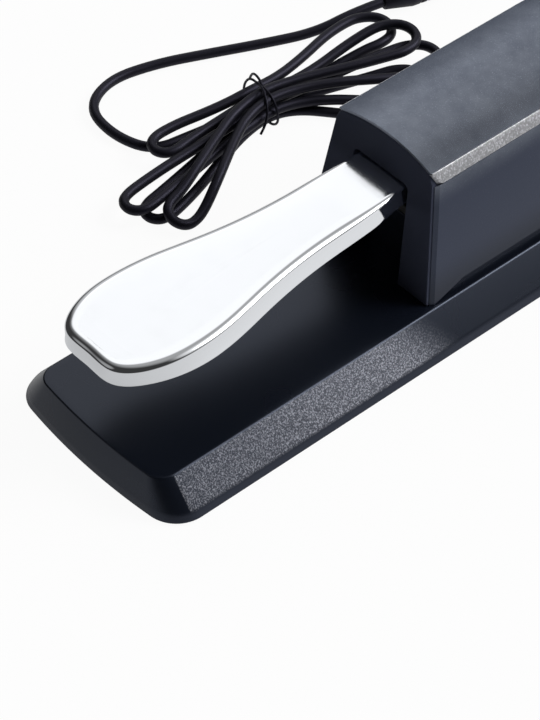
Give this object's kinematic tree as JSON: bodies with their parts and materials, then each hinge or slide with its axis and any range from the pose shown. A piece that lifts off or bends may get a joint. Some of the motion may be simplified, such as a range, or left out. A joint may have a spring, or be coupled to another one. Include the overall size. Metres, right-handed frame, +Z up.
{
  "type": "keyboard sustain pedal",
  "caption": "Keyboard sustain pedal: low black base, crowned housing, sprung chrome lever and a lead tied in a hank with a plug.",
  "frame": {"origin": "on the floor under the middle of the base", "axes": "+X to the pedal's right, -Y towards the toe of the lever, +Z up"},
  "size_m": [0.1973, 0.311, 0.0728],
  "materials": {
    "case_plastic": "satin",
    "housing_plastic": "satin",
    "trim": "grained",
    "chrome": "polished",
    "zinc_steel": "zinc plated",
    "rubber": "matt",
    "felt": "felt",
    "nylon": "natural",
    "switch_plastic": "satin",
    "cord_black": "satin",
    "plug_metal": "nickel plated"
  },
  "bodies": {
    "pedal_body": {"base_case": "case_plastic", "bottom_plate": "zinc_steel", "rubber_sole": "rubber", "base_screws": "zinc_steel", "housing_cover": "housing_plastic", "cover_screws": "zinc_steel", "front_bezel": "case_plastic", "trim_strip_right": "trim", "trim_strip_left": "trim", "pivot_bracket": "zinc_steel", "bracket_screws": "zinc_steel", "pivot_axle": "zinc_steel", "axle_clips": "zinc_steel", "spring_seat": "nylon", "return_spring": "zinc_steel", "down_stop_rubber": "rubber", "rest_stop_felt": "felt", "switch_bracket": "zinc_steel", "switch_bracket_screws": "zinc_steel", "microswitch_body": "switch_plastic", "microswitch_screws": "zinc_steel", "switch_leads": "cord_black", "polarity_switch_body": "switch_plastic", "polarity_switch_screws": "zinc_steel", "cord_clamp": "nylon", "clamp_screws": "zinc_steel", "cord_strain_relief": "cord_black", "cord_lead": "cord_black", "cord_hank": "cord_black", "cord_tail": "cord_black", "wire_tie": "cord_black", "plug_grip": "cord_black", "plug_sleeve": "plug_metal", "plug_insulator": "switch_plastic", "plug_tip": "plug_metal"},
    "lever": {"pedal_lever": "chrome", "lever_bushes": "nylon", "spring_guide": "nylon", "switch_pusher": "nylon"},
    "switch_leaf": {"microswitch_leaf": "zinc_steel"},
    "switch_plunger": {"microswitch_plunger": "nylon"},
    "polarity_knob": {"polarity_switch_knob": "switch_plastic"}
  },
  "joints": [
    {"name": "pedal_press", "type": "hinge", "parent": "pedal_body", "child": "lever", "pos_m": [0, 0.058, 0.0476], "axis": [1, 0, 0], "range_deg": [0, 7.5], "stiffness_Nm_per_rad": 12, "springref_deg": -6.88, "deforming": ["return_spring"]},
    {"name": "switch_leaf_hinge", "type": "hinge", "parent": "pedal_body", "child": "switch_leaf", "pos_m": [0, 0.0815, 0.0455], "axis": [1, 0, 0], "range_deg": [0, 8.4]},
    {"name": "switch_plunger_slide", "type": "slide", "parent": "pedal_body", "child": "switch_plunger", "axis": [0, 0, 1], "range_m": [0, 0.00062]},
    {"name": "polarity_slide", "type": "slide", "parent": "pedal_body", "child": "polarity_knob", "axis": [1, 0, 0], "range_m": [0, 0.003]}
  ],
  "couplings": [
    {"joint": "switch_leaf_hinge", "follows": "pedal_press", "ratio": 1.1},
    {"joint": "switch_plunger_slide", "follows": "pedal_press", "m_per_rad": 0.0045837}
  ]
}
